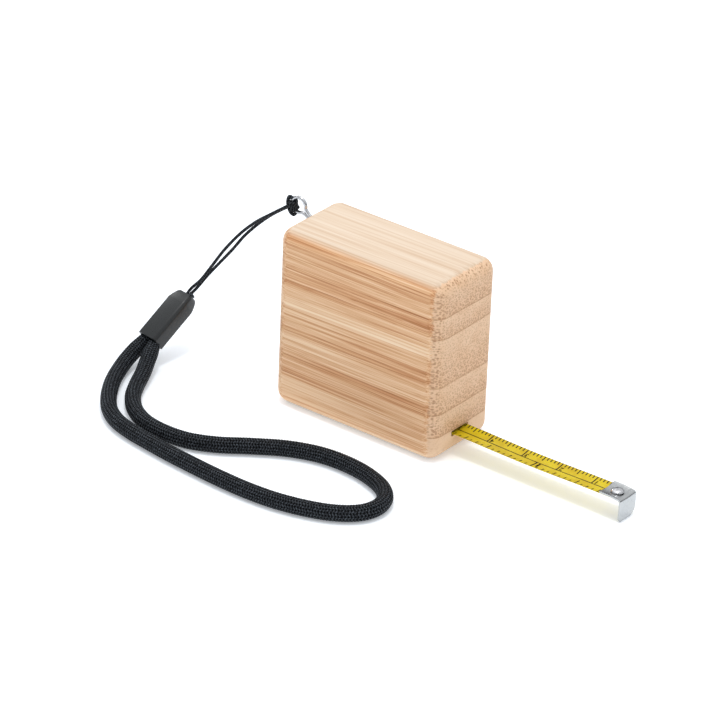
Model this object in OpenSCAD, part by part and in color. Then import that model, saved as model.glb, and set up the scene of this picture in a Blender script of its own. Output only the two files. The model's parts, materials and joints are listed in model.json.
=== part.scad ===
// Pocket tape measure in a bamboo block, with a wrist strap.
// Origin: centre of the flat base. +X: the way the blade leaves. +Y: the closed back. +Z: up.

/* [Case] */
// Length of the block along the blade
case_l = 48; // [47.5:0.5:54]
// Thickness of the block
case_w = 23; // [23:0.5:28]
// Height of the block
case_h = 46.5; // [46.5:0.5:52]
// Radius of all outer edges
edge_r = 3.5; // [2.5:0.25:3.5]
// Thickness of the front wall
front_wall = 5; // [4:0.5:6]
// Thickness of the back panel
panel_t = 4.5; // [3:0.5:4.5]

/* [Blade] */
// Width of the blade
blade_w = 6; // [5:0.25:6]
// Thickness of the blade steel with its coating
blade_t = 0.13; // [0.1:0.01:0.16]
// Radius of the blade's hollow cross-section
blade_curve_r = 11.45; // [10:0.05:20]
// Blade out of the case, measured to the outside of the hook
blade_out = 48.5; // [40:0.5:60]
// Height of the blade's centre line above the base
blade_z = 5.35; // [5.35:0.05:5.6]

/* [Hook] */
// Length of the hook's plate on the blade
hook_l = 6.2; // [5:0.1:7]
// Width of the hook
hook_w = 6.4; // [6.2:0.1:6.6]
// Thickness of the hook's steel
hook_t = 0.45; // [0.3:0.05:0.5]
// Gap between the hook's lip and the ground
lip_gap = 0.1; // [0.05:0.05:1]
// Radius of the rivet's dome
rivet_r = 1.6; // [1.2:0.1:1.7]

/* [Reel] */
// Radius of the flanges
flange_r = 16; // [15.6:0.1:16]
// Outer radius of the wound blade
coil_r = 15; // [14.4:0.1:15]
// Outer radius of the drum
drum_r = 13.4; // [12.8:0.1:13.6]
// Radius of the spindle pin
pin_r = 2; // [1.5:0.1:2.2]
// Turns of the power spring
spring_turns = 5; // [3:1:7]

/* [Strap] */
// Diameter of the thin cord
thin_d = 0.8; // [0.6:0.1:0.8]
// Diameter of the braided wrist cord
wrist_d = 4; // [3:0.25:4]
// Length of the ferrule
ferrule_l = 14.5; // [13:0.5:14.5]
// Width of the ferrule
ferrule_w = 6.4; // [6.2:0.1:7]
// Height of the ferrule's section
ferrule_h = 4.8; // [4.2:0.1:5.5]

/* [Hidden] */

fine = 48;
eps = 0.01;

// Colours
bamboo = [0.87, 0.72, 0.54];
black_plastic = [0.12, 0.12, 0.13];
steel = [0.75, 0.76, 0.78];
yellow = [0.93, 0.78, 0.16];
cord_black = [0.07, 0.07, 0.08];

// The hollow in the block and the mechanism that fills it
back_y = case_w / 2;
front_y = -case_w / 2;
pocket_y0 = front_y + front_wall;
pocket_x = case_l / 2 - edge_r;
pocket_z0 = edge_r + 0.1;
pocket_z1 = case_h - pocket_z0;
pocket_r = 2;
fit_gap = 0.1;
panel_y0 = back_y - panel_t;

cup_wall = 0.9;
cup_x = pocket_x - fit_gap;
cup_z0 = pocket_z0 + fit_gap;
cup_z1 = pocket_z1 - fit_gap;
cup_r = pocket_r - fit_gap;
cup_y0 = pocket_y0 + fit_gap;
cup_floor_y = cup_y0 + 1;

// Stack along the spindle, from the cup's floor to the lid
blade_y = cup_floor_y + 4.4;
blade_y0 = blade_y - blade_w / 2;
blade_y1 = blade_y + blade_w / 2;
flange_gap = 0.2;
flange_t = 0.8;
drum_y0 = blade_y0 - flange_gap - flange_t;
cap_y0 = blade_y1 + flange_gap;
cap_y1 = cap_y0 + flange_t;
washer_y0 = cap_y1 + 0.05;
washer_t = 0.6;
lid_y0 = washer_y0 + washer_t + 0.45;
lid_t = 1.2;
lid_y1 = lid_y0 + lid_t;

// Reel
reel_z = 24;
drum_wall = 1.1;
pin_clearance = 0.05;
coil_gap = 0.02;

// Screws
screw_r = 0.6;
screw_bore_r = 0.65;
screw_head_r = 1.5;
screw_head_t = 0.8;
screw_bite = 4.5;
boss_r = 1.8;
boss_x = cup_x - 3.6;
boss_z = [cup_z0 + 6.9, cup_z1 - 3.6];

// Blade and mouth
hook_x1 = case_l / 2 + blade_out;
blade_x0 = case_l / 2 - 1;
blade_x1 = hook_x1 - hook_t - 0.05;
blade_rise = blade_curve_r - sqrt(pow(blade_curve_r, 2) - pow(blade_w / 2, 2));
rivet_x = hook_x1 - hook_l / 2;
rivet_hole_r = 0.8;
mouth_side = 0.3;
mouth_z0 = blade_z - 0.45;
mouth_z1 = blade_z + blade_rise + 0.55;

// The hidden blade runs from the coil, on a tangent, to the mouth
tail_end_gap = 0.15;
tail_start = 4;
tail_dx = blade_x0 - tail_end_gap;
tail_dz = reel_z - blade_z;
tail_d = sqrt(pow(tail_dx, 2) + pow(tail_dz, 2));
tail_touch_r = coil_r + blade_t / 2;
tail_l = sqrt(pow(tail_d, 2) - pow(tail_touch_r, 2)) - tail_start;
tail_slope = acos(tail_touch_r / tail_d) + atan2(tail_dz, tail_dx) - 90;

// Strap eye, square to the rounded top edge at the back end of the block
eye_tilt = 35;
eye_ring_r = 1.95;
eye_wire_r = 0.45;
eye_shank_r = 0.55;
eye_stand_off = 3.9;
eye_depth = 4.2;
knot_r = 1.3;
knot_l = 3.4;
knot_angle = 20;

// Ferrule: the middle of its wide end, and the way its tip points
ferrule_pos = [-58.2, -16, 6];
ferrule_pitch = 36;
ferrule_yaw = 10;
ferrule_chamfer = 0.7;
ferrule_tip_l = 3;
ferrule_tip_inset = 1;

// Routes of the cords, point by point
thin_route_a = [[-29.7, -0.5, 46.1], [-34.2, -0.9, 42.6], [-38.8, -1, 38.9],
                [-43.3, -1.1, 34.3], [-47.7, -1.2, 28.7], [-51.3, -1.3, 23.2],
                [-54, -2.1, 18.7], [-56, -3.3, 16.1], [-56.6, -4.4, 14.55]];
thin_route_b = [[-29.7, 0.4, 45.8], [-34.4, 0, 42.2], [-38.4, -0.2, 38.4],
                [-42.2, -0.5, 34.1], [-45.7, -0.7, 29.2], [-49.4, -0.8, 24.4],
                [-53.3, -0.7, 19.4], [-55.2, -2, 16.1], [-55.75, -4.55, 14.55]];
wrist_route = [[-59.75, -15.75, 6], [-60.3, -18.6, 4.1], [-60.2, -22.3, 2.7], [-59, -26.5, 2],
               [-56.8, -31.3, 2], [-54, -36, 2], [-50.8, -40.3, 2], [-47, -44, 2],
               [-42.5, -46.6, 2], [-37, -48.2, 2], [-31, -49.2, 2], [-24, -50.2, 2],
               [-16, -51, 2], [-8, -51.6, 2], [0, -51.8, 2], [8, -51.2, 2], [15.5, -49.5, 2],
               [22, -46.8, 2], [26.5, -43, 2], [28.2, -38.5, 2], [27.2, -34, 2],
               [23.6, -30.3, 2], [17.5, -27.8, 2], [10.5, -26.8, 2], [3, -27.4, 2],
               [-4.5, -30.2, 2], [-11.5, -34.8, 2], [-18, -39.6, 2], [-24.5, -42.6, 2],
               [-31, -43.3, 2], [-37.5, -42.4, 2], [-43, -39.6, 2], [-47.5, -35.2, 2],
               [-50.6, -30.2, 2], [-52.8, -25.2, 2.6], [-54.9, -20.6, 4.1],
               [-56.65, -16.25, 6]];
// Radius of the wrist cord where the ferrule pinches it
pinched_r = 1.5;

// ---------- shared shapes ----------

// A block with its four Z edges rounded, centred on the origin
module rounded_prism(l, w, h, r) {
    cube([l - 2 * r, w, h], center = true);
    cube([l, w - 2 * r, h], center = true);
    for (x = [-1, 1], y = [-1, 1])
        translate([x * (l / 2 - r), y * (w / 2 - r), 0])
            cylinder(h = h, r = r, center = true, $fn = fine);
}

// A plate across Y with rounded corners, from x = -half to half and from z0 to z1
module y_plate(half, z0, z1, r, y0, y1) {
    translate([0, (y0 + y1) / 2, (z0 + z1) / 2])
        rotate([90, 0, 0])
            rounded_prism(2 * half, z1 - z0, y1 - y0, r);
}

// A cylinder or cone along +Y
module y_rod(x, z, y0, y1, r0, r1) {
    translate([x, y0, z])
        rotate([-90, 0, 0])
            cylinder(h = y1 - y0, r1 = r0, r2 = r1, $fn = fine);
}

module y_ring(z, y0, y1, r_in, r_out) {
    difference() {
        y_rod(0, z, y0, y1, r_out, r_out);
        y_rod(0, z, y0 - 1, y1 + 1, r_in, r_in);
    }
}

// A countersunk screw along -Y, with the top of its head at y_top
module countersunk(x, z, y_top, length) {
    y_rod(x, z, y_top - length, y_top - screw_head_t + eps, screw_r, screw_r);
    y_rod(x, z, y_top - screw_head_t, y_top, screw_r, screw_head_r);
}

module countersink(x, z, y_top) {
    y_rod(x, z, y_top - lid_t - 1, y_top + 1, screw_bore_r + 0.1, screw_bore_r + 0.1);
    y_rod(x, z, y_top - screw_head_t, y_top, screw_bore_r + 0.1, screw_head_r + 0.1);
}

// Section of the hollow blade, or of a plate that lies in it, from radius r_in to r_out
module hollow_section(width, r_in, r_out) {
    translate([0, blade_curve_r])
        intersection() {
            difference() {
                circle(r = r_out, $fn = 96);
                circle(r = r_in, $fn = 96);
            }
            translate([-width / 2, -r_out])
                square([width, blade_curve_r / 2]);
        }
}

// A strip of blade along +X from the origin
module blade_strip(length) {
    rotate([90, 0, 90])
        linear_extrude(height = length)
            hollow_section(blade_w, blade_curve_r, blade_curve_r + blade_t);
}

// ---------- cords ----------

function unit(v) = v / norm(v);
function clamped(p, i) = p[max(0, min(len(p) - 1, i))];
// Point on a smooth curve through the route, at t of the way from point i to the next
function on_curve(p, i, t) =
    let (a = clamped(p, i - 1), b = clamped(p, i), c = clamped(p, i + 1), d = clamped(p, i + 2))
    0.5 * (2 * b + (c - a) * t + (2 * a - 5 * b + 4 * c - d) * t * t
           + (3 * b - a - 3 * c + d) * t * t * t);
function curve(p, steps) = [
    for (i = [0 : len(p) - 2], k = [0 : steps - 1]) on_curve(p, i, k / steps),
    p[len(p) - 1]
];
function heading(c, i) = unit(clamped(c, i + 1) - clamped(c, i - 1));
// One ring of points round the curve; ref is a direction that the cord never takes
function ring(c, i, r, sides, ref) =
    let (t = heading(c, i), u = unit(cross(t, ref)), v = cross(u, t))
    [for (k = [0 : sides - 1]) c[i] + r * (cos(360 * k / sides) * u + sin(360 * k / sides) * v)];

// A tube along c, with radius radii[i] at point i
module cord_tube(c, radii, sides, ref) {
    n = len(c);
    points = [for (i = [0 : n - 1]) each ring(c, i, radii[i], sides, ref)];
    walls = [for (i = [0 : n - 2], k = [0 : sides - 1])
        [i * sides + k, i * sides + (k + 1) % sides,
         (i + 1) * sides + (k + 1) % sides, (i + 1) * sides + k]];
    start = [[for (k = [sides - 1 : -1 : 0]) k]];
    finish = [[for (k = [0 : sides - 1]) (n - 1) * sides + k]];
    polyhedron(points = points, faces = concat(walls, start, finish));
}

// ---------- case ----------

module case_body() {
    color(bamboo)
    difference() {
        translate([0, 0, case_h / 2])
            intersection() {
                rounded_prism(case_l, case_w, case_h, edge_r);
                rotate([90, 0, 0]) rounded_prism(case_l, case_h, case_w, edge_r);
                rotate([0, 90, 0]) rounded_prism(case_h, case_w, case_l, edge_r);
            }
        y_plate(pocket_x, pocket_z0, pocket_z1, pocket_r, pocket_y0, back_y + 1);
        translate([pocket_x - 1, blade_y0 - mouth_side, mouth_z0])
            cube([edge_r + 2, blade_w + 2 * mouth_side, mouth_z1 - mouth_z0]);
        on_eye_axis()
            translate([0, 0, -eye_depth - 0.2])
                cylinder(h = eye_depth + 1, r = eye_shank_r + 0.05, $fn = fine);
    }
}

module back_cover() {
    color(bamboo)
    y_plate(cup_x, cup_z0, cup_z1, cup_r, panel_y0, back_y);
}

module foam_pad() {
    color([0.35, 0.35, 0.36])
    y_plate(cup_x - 7, cup_z0 + 6, cup_z1 - 6, 2, lid_y1, panel_y0);
}

// ---------- mechanism housing ----------

module mechanism_cup() {
    color(black_plastic)
    difference() {
        union() {
            difference() {
                y_plate(cup_x, cup_z0, cup_z1, cup_r, cup_y0, lid_y0);
                y_plate(cup_x - cup_wall, cup_z0 + cup_wall, cup_z1 - cup_wall,
                        cup_r - cup_wall, cup_floor_y, lid_y0 + 1);
            }
            y_ring(reel_z, cup_floor_y - eps, drum_y0 - 0.15, pin_r + 0.1, pin_r + 2.5);
            for (x = [-boss_x, boss_x], z = boss_z)
                y_rod(x, z, cup_floor_y - eps, lid_y0, boss_r, boss_r);
        }
        for (x = [-boss_x, boss_x], z = boss_z)
            y_rod(x, z, lid_y0 - screw_bite - 0.5, lid_y0 + 1, screw_bore_r, screw_bore_r);
        y_rod(0, reel_z, cup_y0 - 1, cup_floor_y + 1, pin_r - 0.68, pin_r - 0.68);
        translate([cup_x - 2, blade_y0 - mouth_side, mouth_z0 - 0.1])
            cube([3, blade_w + 2 * mouth_side, mouth_z1 - mouth_z0 + 0.2]);
    }
}

module mechanism_lid() {
    color(black_plastic)
    difference() {
        union() {
            y_plate(cup_x, cup_z0, cup_z1, cup_r, lid_y0, lid_y1);
            y_ring(reel_z, washer_y0 + washer_t + 0.05, lid_y0 + eps, pin_r + 0.1, pin_r + 2.5);
        }
        for (x = [-boss_x, boss_x], z = boss_z)
            countersink(x, z, lid_y1);
        countersink(0, reel_z, lid_y1);
    }
}

module lid_screws() {
    color(steel)
    for (x = [-boss_x, boss_x], z = boss_z)
        countersunk(x, z, lid_y1, lid_t + screw_bite - 0.4);
}

// ---------- spindle ----------

module spindle_pin() {
    color(steel)
    difference() {
        union() {
            y_rod(0, reel_z, cup_floor_y, lid_y0, pin_r, pin_r);
            y_rod(0, reel_z, cup_y0, cup_floor_y + eps, pin_r - 0.7, pin_r - 0.7);
        }
        y_rod(0, reel_z, lid_y0 - screw_bite, lid_y0 + 1, screw_bore_r, screw_bore_r);
        translate([0, blade_y0, reel_z - 0.2])
            cube([pin_r + 1, blade_w - 2.5, 0.4]);
    }
}

module spindle_screw() {
    color(steel)
    countersunk(0, reel_z, lid_y1, lid_t + screw_bite - 0.4);
}

module thrust_washer() {
    color([0.9, 0.9, 0.88])
    y_ring(reel_z, washer_y0, washer_y0 + washer_t, pin_r + pin_clearance, pin_r + 2.5);
}

// A bent leaf on the floor of the blade's channel
module brake_leaf() {
    foot_z = cup_z0 + cup_wall;
    crest_z = blade_z - blade_t - 0.08;
    leaf_t = 0.15;
    x0 = cup_x - 12;
    color(steel)
    translate([0, blade_y + 2, 0])
        rotate([90, 0, 0])
            linear_extrude(height = 4)
                polygon([[x0, foot_z], [x0 + 4, foot_z], [x0 + 8.5, crest_z - leaf_t],
                         [x0 + 10.6, foot_z + 0.1], [x0 + 10.6, foot_z + 0.1 + leaf_t],
                         [x0 + 8.5, crest_z], [x0 + 3.9, foot_z + leaf_t],
                         [x0, foot_z + leaf_t]]);
}

// ---------- reel ----------

module reel_drum() {
    color([0.2, 0.2, 0.22]) {
        y_ring(reel_z, drum_y0, drum_y0 + flange_t, pin_r + pin_clearance, flange_r);
        y_ring(reel_z, drum_y0 + flange_t - eps, cap_y0, drum_r - drum_wall, drum_r);
    }
}

module reel_cap() {
    spigot_r = drum_r - drum_wall - 0.05;
    color([0.2, 0.2, 0.22]) {
        y_ring(reel_z, cap_y0, cap_y1, pin_r + pin_clearance, flange_r);
        y_ring(reel_z, cap_y0 - 1, cap_y0 + eps, spigot_r - 0.8, spigot_r);
    }
}

module blade_coil() {
    color(yellow)
    y_ring(reel_z, blade_y0, blade_y1, drum_r + coil_gap, coil_r);
}

// A flat spiral from the spindle pin to the inside of the drum
module power_spring() {
    steps = 16;
    r0 = pin_r + 0.15;
    r1 = drum_r - drum_wall - 0.35;
    strip_t = 0.25;
    n = spring_turns * steps;
    function at(i, out) =
        let (a = 360 * i / steps, r = r0 + (r1 - r0) * i / n + out)
        [r * cos(a), r * sin(a)];
    color(steel)
    translate([0, cap_y0 - 1.2, reel_z])
        rotate([90, 0, 0])
            linear_extrude(height = blade_w - 1.2)
                polygon(concat([for (i = [0 : n]) at(i, 0)],
                               [for (i = [n : -1 : 0]) at(i, strip_t)]));
}

// ---------- blade and hook ----------

module blade_front() {
    color(yellow)
    difference() {
        translate([blade_x0, blade_y, blade_z])
            blade_strip(blade_x1 - blade_x0);
        translate([rivet_x, blade_y, blade_z - 2])
            cylinder(h = 4, r = rivet_hole_r, $fn = fine);
    }
}

module blade_tail() {
    color(yellow)
    translate([tail_dx, blade_y, blade_z])
        rotate([0, tail_slope, 0])
            translate([-tail_l, 0, 0])
                blade_strip(tail_l);
}

module end_hook() {
    lip_z0 = lip_gap;
    far_r = 2.4;
    near_r = 0.8;
    lip_top = blade_z + 2;
    color(steel)
    difference() {
        union() {
            // plate, hollow like the blade under it
            translate([hook_x1 - hook_l, blade_y, blade_z])
                rotate([90, 0, 90])
                    linear_extrude(height = hook_l - eps)
                        hollow_section(hook_w, blade_curve_r - hook_t, blade_curve_r);
            // lip, with unequal bottom corners
            translate([hook_x1 - hook_t, blade_y, 0])
                rotate([90, 0, 90])
                    linear_extrude(height = hook_t)
                        difference() {
                            union() {
                                translate([-hook_w / 2 + near_r, lip_z0])
                                    square([hook_w - near_r - far_r, lip_top - lip_z0]);
                                translate([-hook_w / 2, lip_z0 + near_r])
                                    square([hook_w - far_r, lip_top - lip_z0 - near_r]);
                                translate([0, lip_z0 + far_r])
                                    square([hook_w / 2, lip_top - lip_z0 - far_r]);
                                translate([-hook_w / 2 + near_r, lip_z0 + near_r])
                                    circle(r = near_r, $fn = fine);
                                translate([hook_w / 2 - far_r, lip_z0 + far_r])
                                    circle(r = far_r, $fn = fine);
                            }
                            translate([0, blade_z + blade_curve_r])
                                circle(r = blade_curve_r - hook_t, $fn = 96);
                        }
        }
        translate([rivet_x, blade_y, blade_z - 2])
            cylinder(h = 4, r = rivet_hole_r, $fn = fine);
    }
}

module hook_rivet() {
    dome_h = 0.75;
    dome_ball_r = (pow(rivet_r, 2) + pow(dome_h, 2)) / (2 * dome_h);
    seat_z = hook_t + 0.13;
    foot_t = 0.4;
    foot_z = -blade_t - 0.02 - foot_t;
    color(steel)
    translate([rivet_x, blade_y, blade_z]) {
        intersection() {
            translate([0, 0, seat_z + dome_h - dome_ball_r])
                sphere(r = dome_ball_r, $fn = fine);
            translate([0, 0, seat_z])
                cylinder(h = dome_h + 1, r = rivet_r + 1, $fn = fine);
        }
        translate([0, 0, foot_z])
            cylinder(h = seat_z - foot_z + eps, r = rivet_hole_r - 0.05, $fn = fine);
        translate([0, 0, foot_z])
            cylinder(h = foot_t, r = rivet_r - 0.4, $fn = fine);
    }
}

// ---------- strap ----------

// Puts its children on the rounded edge, with +Z square to it
module on_eye_axis() {
    translate([-case_l / 2 + edge_r, 0, case_h - edge_r])
        rotate([0, eye_tilt - 90, 0])
            translate([0, 0, edge_r])
                children();
}

module eye_ring(wire_r) {
    translate([0, 0, eye_stand_off])
        rotate([90, 0, 0])
            rotate_extrude($fn = fine)
                translate([eye_ring_r, 0])
                    circle(r = wire_r, $fn = 24);
}

module strap_eye() {
    color(steel)
    on_eye_axis() {
        translate([0, 0, -eye_depth])
            cylinder(h = eye_depth + eye_stand_off - eye_ring_r, r = eye_shank_r, $fn = fine);
        cylinder(h = 0.3, r = eye_shank_r + 0.35, $fn = fine);
        eye_ring(eye_wire_r);
    }
}

// The hitch round the outer side of the ring
module cord_knot() {
    color(cord_black)
    difference() {
        on_eye_axis()
            translate([0, 0, eye_stand_off])
                rotate([0, -eye_tilt - knot_angle, 0])
                    translate([0, 0, eye_ring_r])
                        rotate([0, 90, 0])
                            cylinder(h = knot_l, r = knot_r, center = true, $fn = fine);
        on_eye_axis()
            eye_ring(eye_wire_r + 0.02);
    }
}

module thin_cord(route) {
    c = curve(route, 2);
    color(cord_black)
    cord_tube(c, [for (p = c) thin_d / 2], 8, [1, 0, -1]);
}

module thin_cord_a() {
    thin_cord(thin_route_a);
}

module thin_cord_b() {
    thin_cord(thin_route_b);
}

module strap_ferrule() {
    module section(inset, thickness) {
        w = ferrule_w / 2 - inset;
        h = ferrule_h / 2 - inset;
        k = ferrule_chamfer;
        linear_extrude(height = thickness)
            polygon([[-w + k, -h], [w - k, -h], [w, -h + k], [w, h - k],
                     [w - k, h], [-w + k, h], [-w, h - k], [-w, -h + k]]);
    }
    color([0.2, 0.21, 0.22])
    translate(ferrule_pos)
        rotate([ferrule_pitch - 90, 0, -ferrule_yaw])
            hull() {
                section(0, ferrule_l - ferrule_tip_l);
                translate([0, 0, ferrule_l - eps])
                    section(ferrule_tip_inset, eps);
            }
}

module wrist_cord() {
    last = len(wrist_route) - 1;
    full_r = wrist_d / 2;
    radii = [for (i = [0 : last])
        let (from_end = min(i, last - i))
        from_end == 0 ? pinched_r : from_end == 1 ? (pinched_r + full_r) / 2 : full_r];
    color(cord_black)
    cord_tube(wrist_route, radii, 10, [0, 0, 1]);
}

case_body();
back_cover();
foam_pad();
mechanism_cup();
mechanism_lid();
lid_screws();
spindle_pin();
spindle_screw();
thrust_washer();
brake_leaf();
reel_drum();
reel_cap();
blade_coil();
power_spring();
blade_tail();
blade_front();
end_hook();
hook_rivet();
strap_eye();
cord_knot();
thin_cord_a();
thin_cord_b();
strap_ferrule();
wrist_cord();
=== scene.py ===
"""Looks of the pocket tape measure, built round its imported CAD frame."""
import json
import math

import bmesh
import bpy
import numpy as np
from mathutils import Matrix, Vector


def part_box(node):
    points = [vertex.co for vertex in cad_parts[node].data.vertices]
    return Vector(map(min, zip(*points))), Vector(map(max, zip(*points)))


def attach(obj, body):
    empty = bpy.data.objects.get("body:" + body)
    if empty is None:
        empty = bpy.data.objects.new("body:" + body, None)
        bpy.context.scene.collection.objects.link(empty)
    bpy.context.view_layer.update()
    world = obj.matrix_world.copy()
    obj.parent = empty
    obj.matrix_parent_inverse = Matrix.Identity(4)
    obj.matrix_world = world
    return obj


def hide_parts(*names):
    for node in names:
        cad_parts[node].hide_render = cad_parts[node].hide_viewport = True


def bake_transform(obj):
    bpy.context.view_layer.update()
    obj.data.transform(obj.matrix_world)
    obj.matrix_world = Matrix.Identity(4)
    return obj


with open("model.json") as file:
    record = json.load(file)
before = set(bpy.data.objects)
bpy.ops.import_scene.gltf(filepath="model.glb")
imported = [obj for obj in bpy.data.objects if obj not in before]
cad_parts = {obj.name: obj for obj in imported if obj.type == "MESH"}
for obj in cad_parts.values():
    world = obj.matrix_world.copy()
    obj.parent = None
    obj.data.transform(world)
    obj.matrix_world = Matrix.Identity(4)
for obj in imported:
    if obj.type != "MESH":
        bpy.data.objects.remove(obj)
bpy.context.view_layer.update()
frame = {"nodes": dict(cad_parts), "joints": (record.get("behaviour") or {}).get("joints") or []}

MM = 0.001
INCH = 25.4  # in millimetres
joints = {joint["name"]: joint for joint in frame["joints"]}
# How far the blade can still be pulled out from where it stands at rest
TRAVEL = joints["blade_slide"]["range_m"][1]


def placed(name, data):
    """A new object in the scene"""
    thing = bpy.data.objects.new(name, data)
    bpy.context.scene.collection.objects.link(thing)
    return thing


# ---------- camera ----------

CAMERA_AZIMUTH = math.radians(36.51)
CAMERA_ELEVATION = math.radians(28.24)
CAMERA_ROLL = math.radians(2.44)
CAMERA_AIM = Vector((-0.0080, 0.0017, 0.0115))
CAMERA_DISTANCE = 1.2009
CAMERA_LENS = 251.77


def make_camera():
    cos_e = math.cos(CAMERA_ELEVATION)
    back = Vector((math.sin(CAMERA_AZIMUTH) * cos_e, -math.cos(CAMERA_AZIMUTH) * cos_e,
                   math.sin(CAMERA_ELEVATION)))
    level = Vector((math.cos(CAMERA_AZIMUTH), math.sin(CAMERA_AZIMUTH), 0))
    right = level * math.cos(CAMERA_ROLL) + back.cross(level) * math.sin(CAMERA_ROLL)
    up = back.cross(right)
    camera = placed("camera", bpy.data.cameras.new("camera"))
    camera.data.lens = CAMERA_LENS
    camera.data.sensor_width = 36
    camera.data.clip_start, camera.data.clip_end = 0.05, 20
    turn = Matrix((right, up, back)).transposed().to_4x4()
    camera.matrix_world = Matrix.Translation(CAMERA_AIM + back * CAMERA_DISTANCE) @ turn
    bpy.context.scene.camera = camera


# ---------- material helpers ----------

def srgb(red, green, blue):
    """A colour of 0 to 255 as the eye sees it, in the linear values that a shader takes."""
    def linear(c):
        c /= 255
        return c / 12.92 if c <= 0.04045 else ((c + 0.055) / 1.055) ** 2.4
    return (linear(red), linear(green), linear(blue), 1)


class Shader:
    """A node material built with short calls, each of which returns the next one's input"""

    def __init__(self, name):
        self.material = bpy.data.materials.new(name)
        self.material.use_nodes = True
        self.tree = self.material.node_tree
        self.surface = self.tree.nodes["Principled BSDF"]

    def set(self, socket, value):
        if isinstance(value, bpy.types.NodeSocket):
            self.tree.links.new(value, socket)
        else:
            socket.default_value = value

    def node(self, kind, values=None, **settings):
        node = self.tree.nodes.new(kind)
        for key, value in settings.items():
            setattr(node, key, value)
        for key, value in (values or {}).items():
            self.set(node.inputs[key], value)
        return node

    def math(self, operation, a, b=0.0, c=0.0):
        return self.node("ShaderNodeMath", {0: a, 1: b, 2: c}, operation=operation).outputs[0]

    def span(self, value, low, high, out_low=0.0, out_high=1.0):
        """value from low to high, as a smooth step from out_low to out_high"""
        node = self.node("ShaderNodeMapRange", {"Value": value, "From Min": low, "From Max": high,
                                                "To Min": out_low, "To Max": out_high},
                         interpolation_type="SMOOTHSTEP")
        return node.outputs["Result"]

    def mix(self, share, a, b):
        node = self.node("ShaderNodeMix", data_type="RGBA")
        self.set(node.inputs[0], share)
        self.set(node.inputs[6], a)
        self.set(node.inputs[7], b)
        return node.outputs[2]

    def ramp(self, value, stops):
        """A colour for each value from 0 to 1, from (place, colour) stops"""
        node = self.node("ShaderNodeValToRGB", {0: value})
        elements = node.color_ramp.elements
        while len(elements) < len(stops):
            elements.new(1.0)
        for element, (place, colour) in zip(elements, stops):
            element.position = place
            element.color = colour
        return node.outputs[0]

    def place(self, scale=(1, 1, 1)):
        """Object coordinates in millimetres, each axis times its scale"""
        where = self.node("ShaderNodeTexCoord").outputs["Object"]
        return self.node("ShaderNodeMapping", {"Vector": where,
                                               "Scale": [s / MM for s in scale]}).outputs[0]

    def noise(self, vector, scale=1.0, detail=2.0, roughness=0.5):
        return self.node("ShaderNodeTexNoise", {"Vector": vector, "Scale": scale, "Detail": detail,
                                                "Roughness": roughness}).outputs["Fac"]

    def bump(self, height, distance, strength):
        node = self.node("ShaderNodeBump", {"Height": height, "Distance": distance,
                                            "Strength": strength})
        self.set(self.surface.inputs["Normal"], node.outputs[0])

    def finish(self, **inputs):
        for name, value in inputs.items():
            self.set(self.surface.inputs[name.replace("_", " ").title()
                                         .replace("Ior", "IOR")], value)
        return self.material


# ---------- materials ----------

# Seams between the glued strips of bamboo, as heights in millimetres
SEAMS = (6.6, 12.6, 19.6, 32.4, 37.9)
# The top of the uppermost strip, just past the case
STRIP_END = 47.0
# Broad streaks on the sides: (height, half width, lighter or darker). The first two are broad
# bands: darker near the top, and lighter near the bottom, which is painted light that lifts the
# shade near the floor
STREAKS_AND_PAINTED_LIGHT = ((42.0, 5.5, -0.38), (4.0, 5.0, 0.12), (45.0, 0.6, -0.75), (43.8, 0.8, -0.4),
           (40.5, 0.35, -0.4), (35.1, 0.5, -0.55), (33.8, 0.5, -0.6), (31.6, 1.7, 0.45),
           (28.7, 1.3, 0.6), (27.1, 0.6, -0.35), (23.7, 0.45, -0.35), (21.4, 0.8, -0.85),
           (18.3, 2.6, 0.5), (13.6, 2.2, -0.4), (9.0, 0.9, -0.55), (5.4, 2.2, 0.25),
           (2.6, 0.3, -0.5))


def wood_place(s, shift):
    """Coordinates in millimetres that wander a little along the fibres"""
    where = s.node("ShaderNodeTexCoord").outputs["Object"]
    where = s.node("ShaderNodeMapping", {"Vector": where, "Location": shift,
                                         "Scale": (1 / MM,) * 3}).outputs[0]
    slow = s.node("ShaderNodeMapping", {"Vector": where, "Scale": (0.009, 0.05, 0.05)}).outputs[0]
    wander = s.node("ShaderNodeTexNoise", {"Vector": slow, "Scale": 1.0, "Detail": 1.0})
    sway = s.node("ShaderNodeVectorMath", {0: wander.outputs["Color"], 1: (0.5, 0.5, 0.5)},
                  operation="SUBTRACT").outputs[0]
    sway = s.node("ShaderNodeVectorMath", {0: sway, 1: (0, 1.8, 1.8)},
                  operation="MULTIPLY").outputs[0]
    return s.node("ShaderNodeVectorMath", {0: where, 1: sway}, operation="ADD").outputs[0]


def wood_streaks(s, bent, across, along, detail=2.0):
    stretched = s.node("ShaderNodeMapping", {"Vector": bent,
                                             "Scale": (along, across, across)}).outputs[0]
    return s.noise(stretched, 1.0, detail, 0.55)


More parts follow.
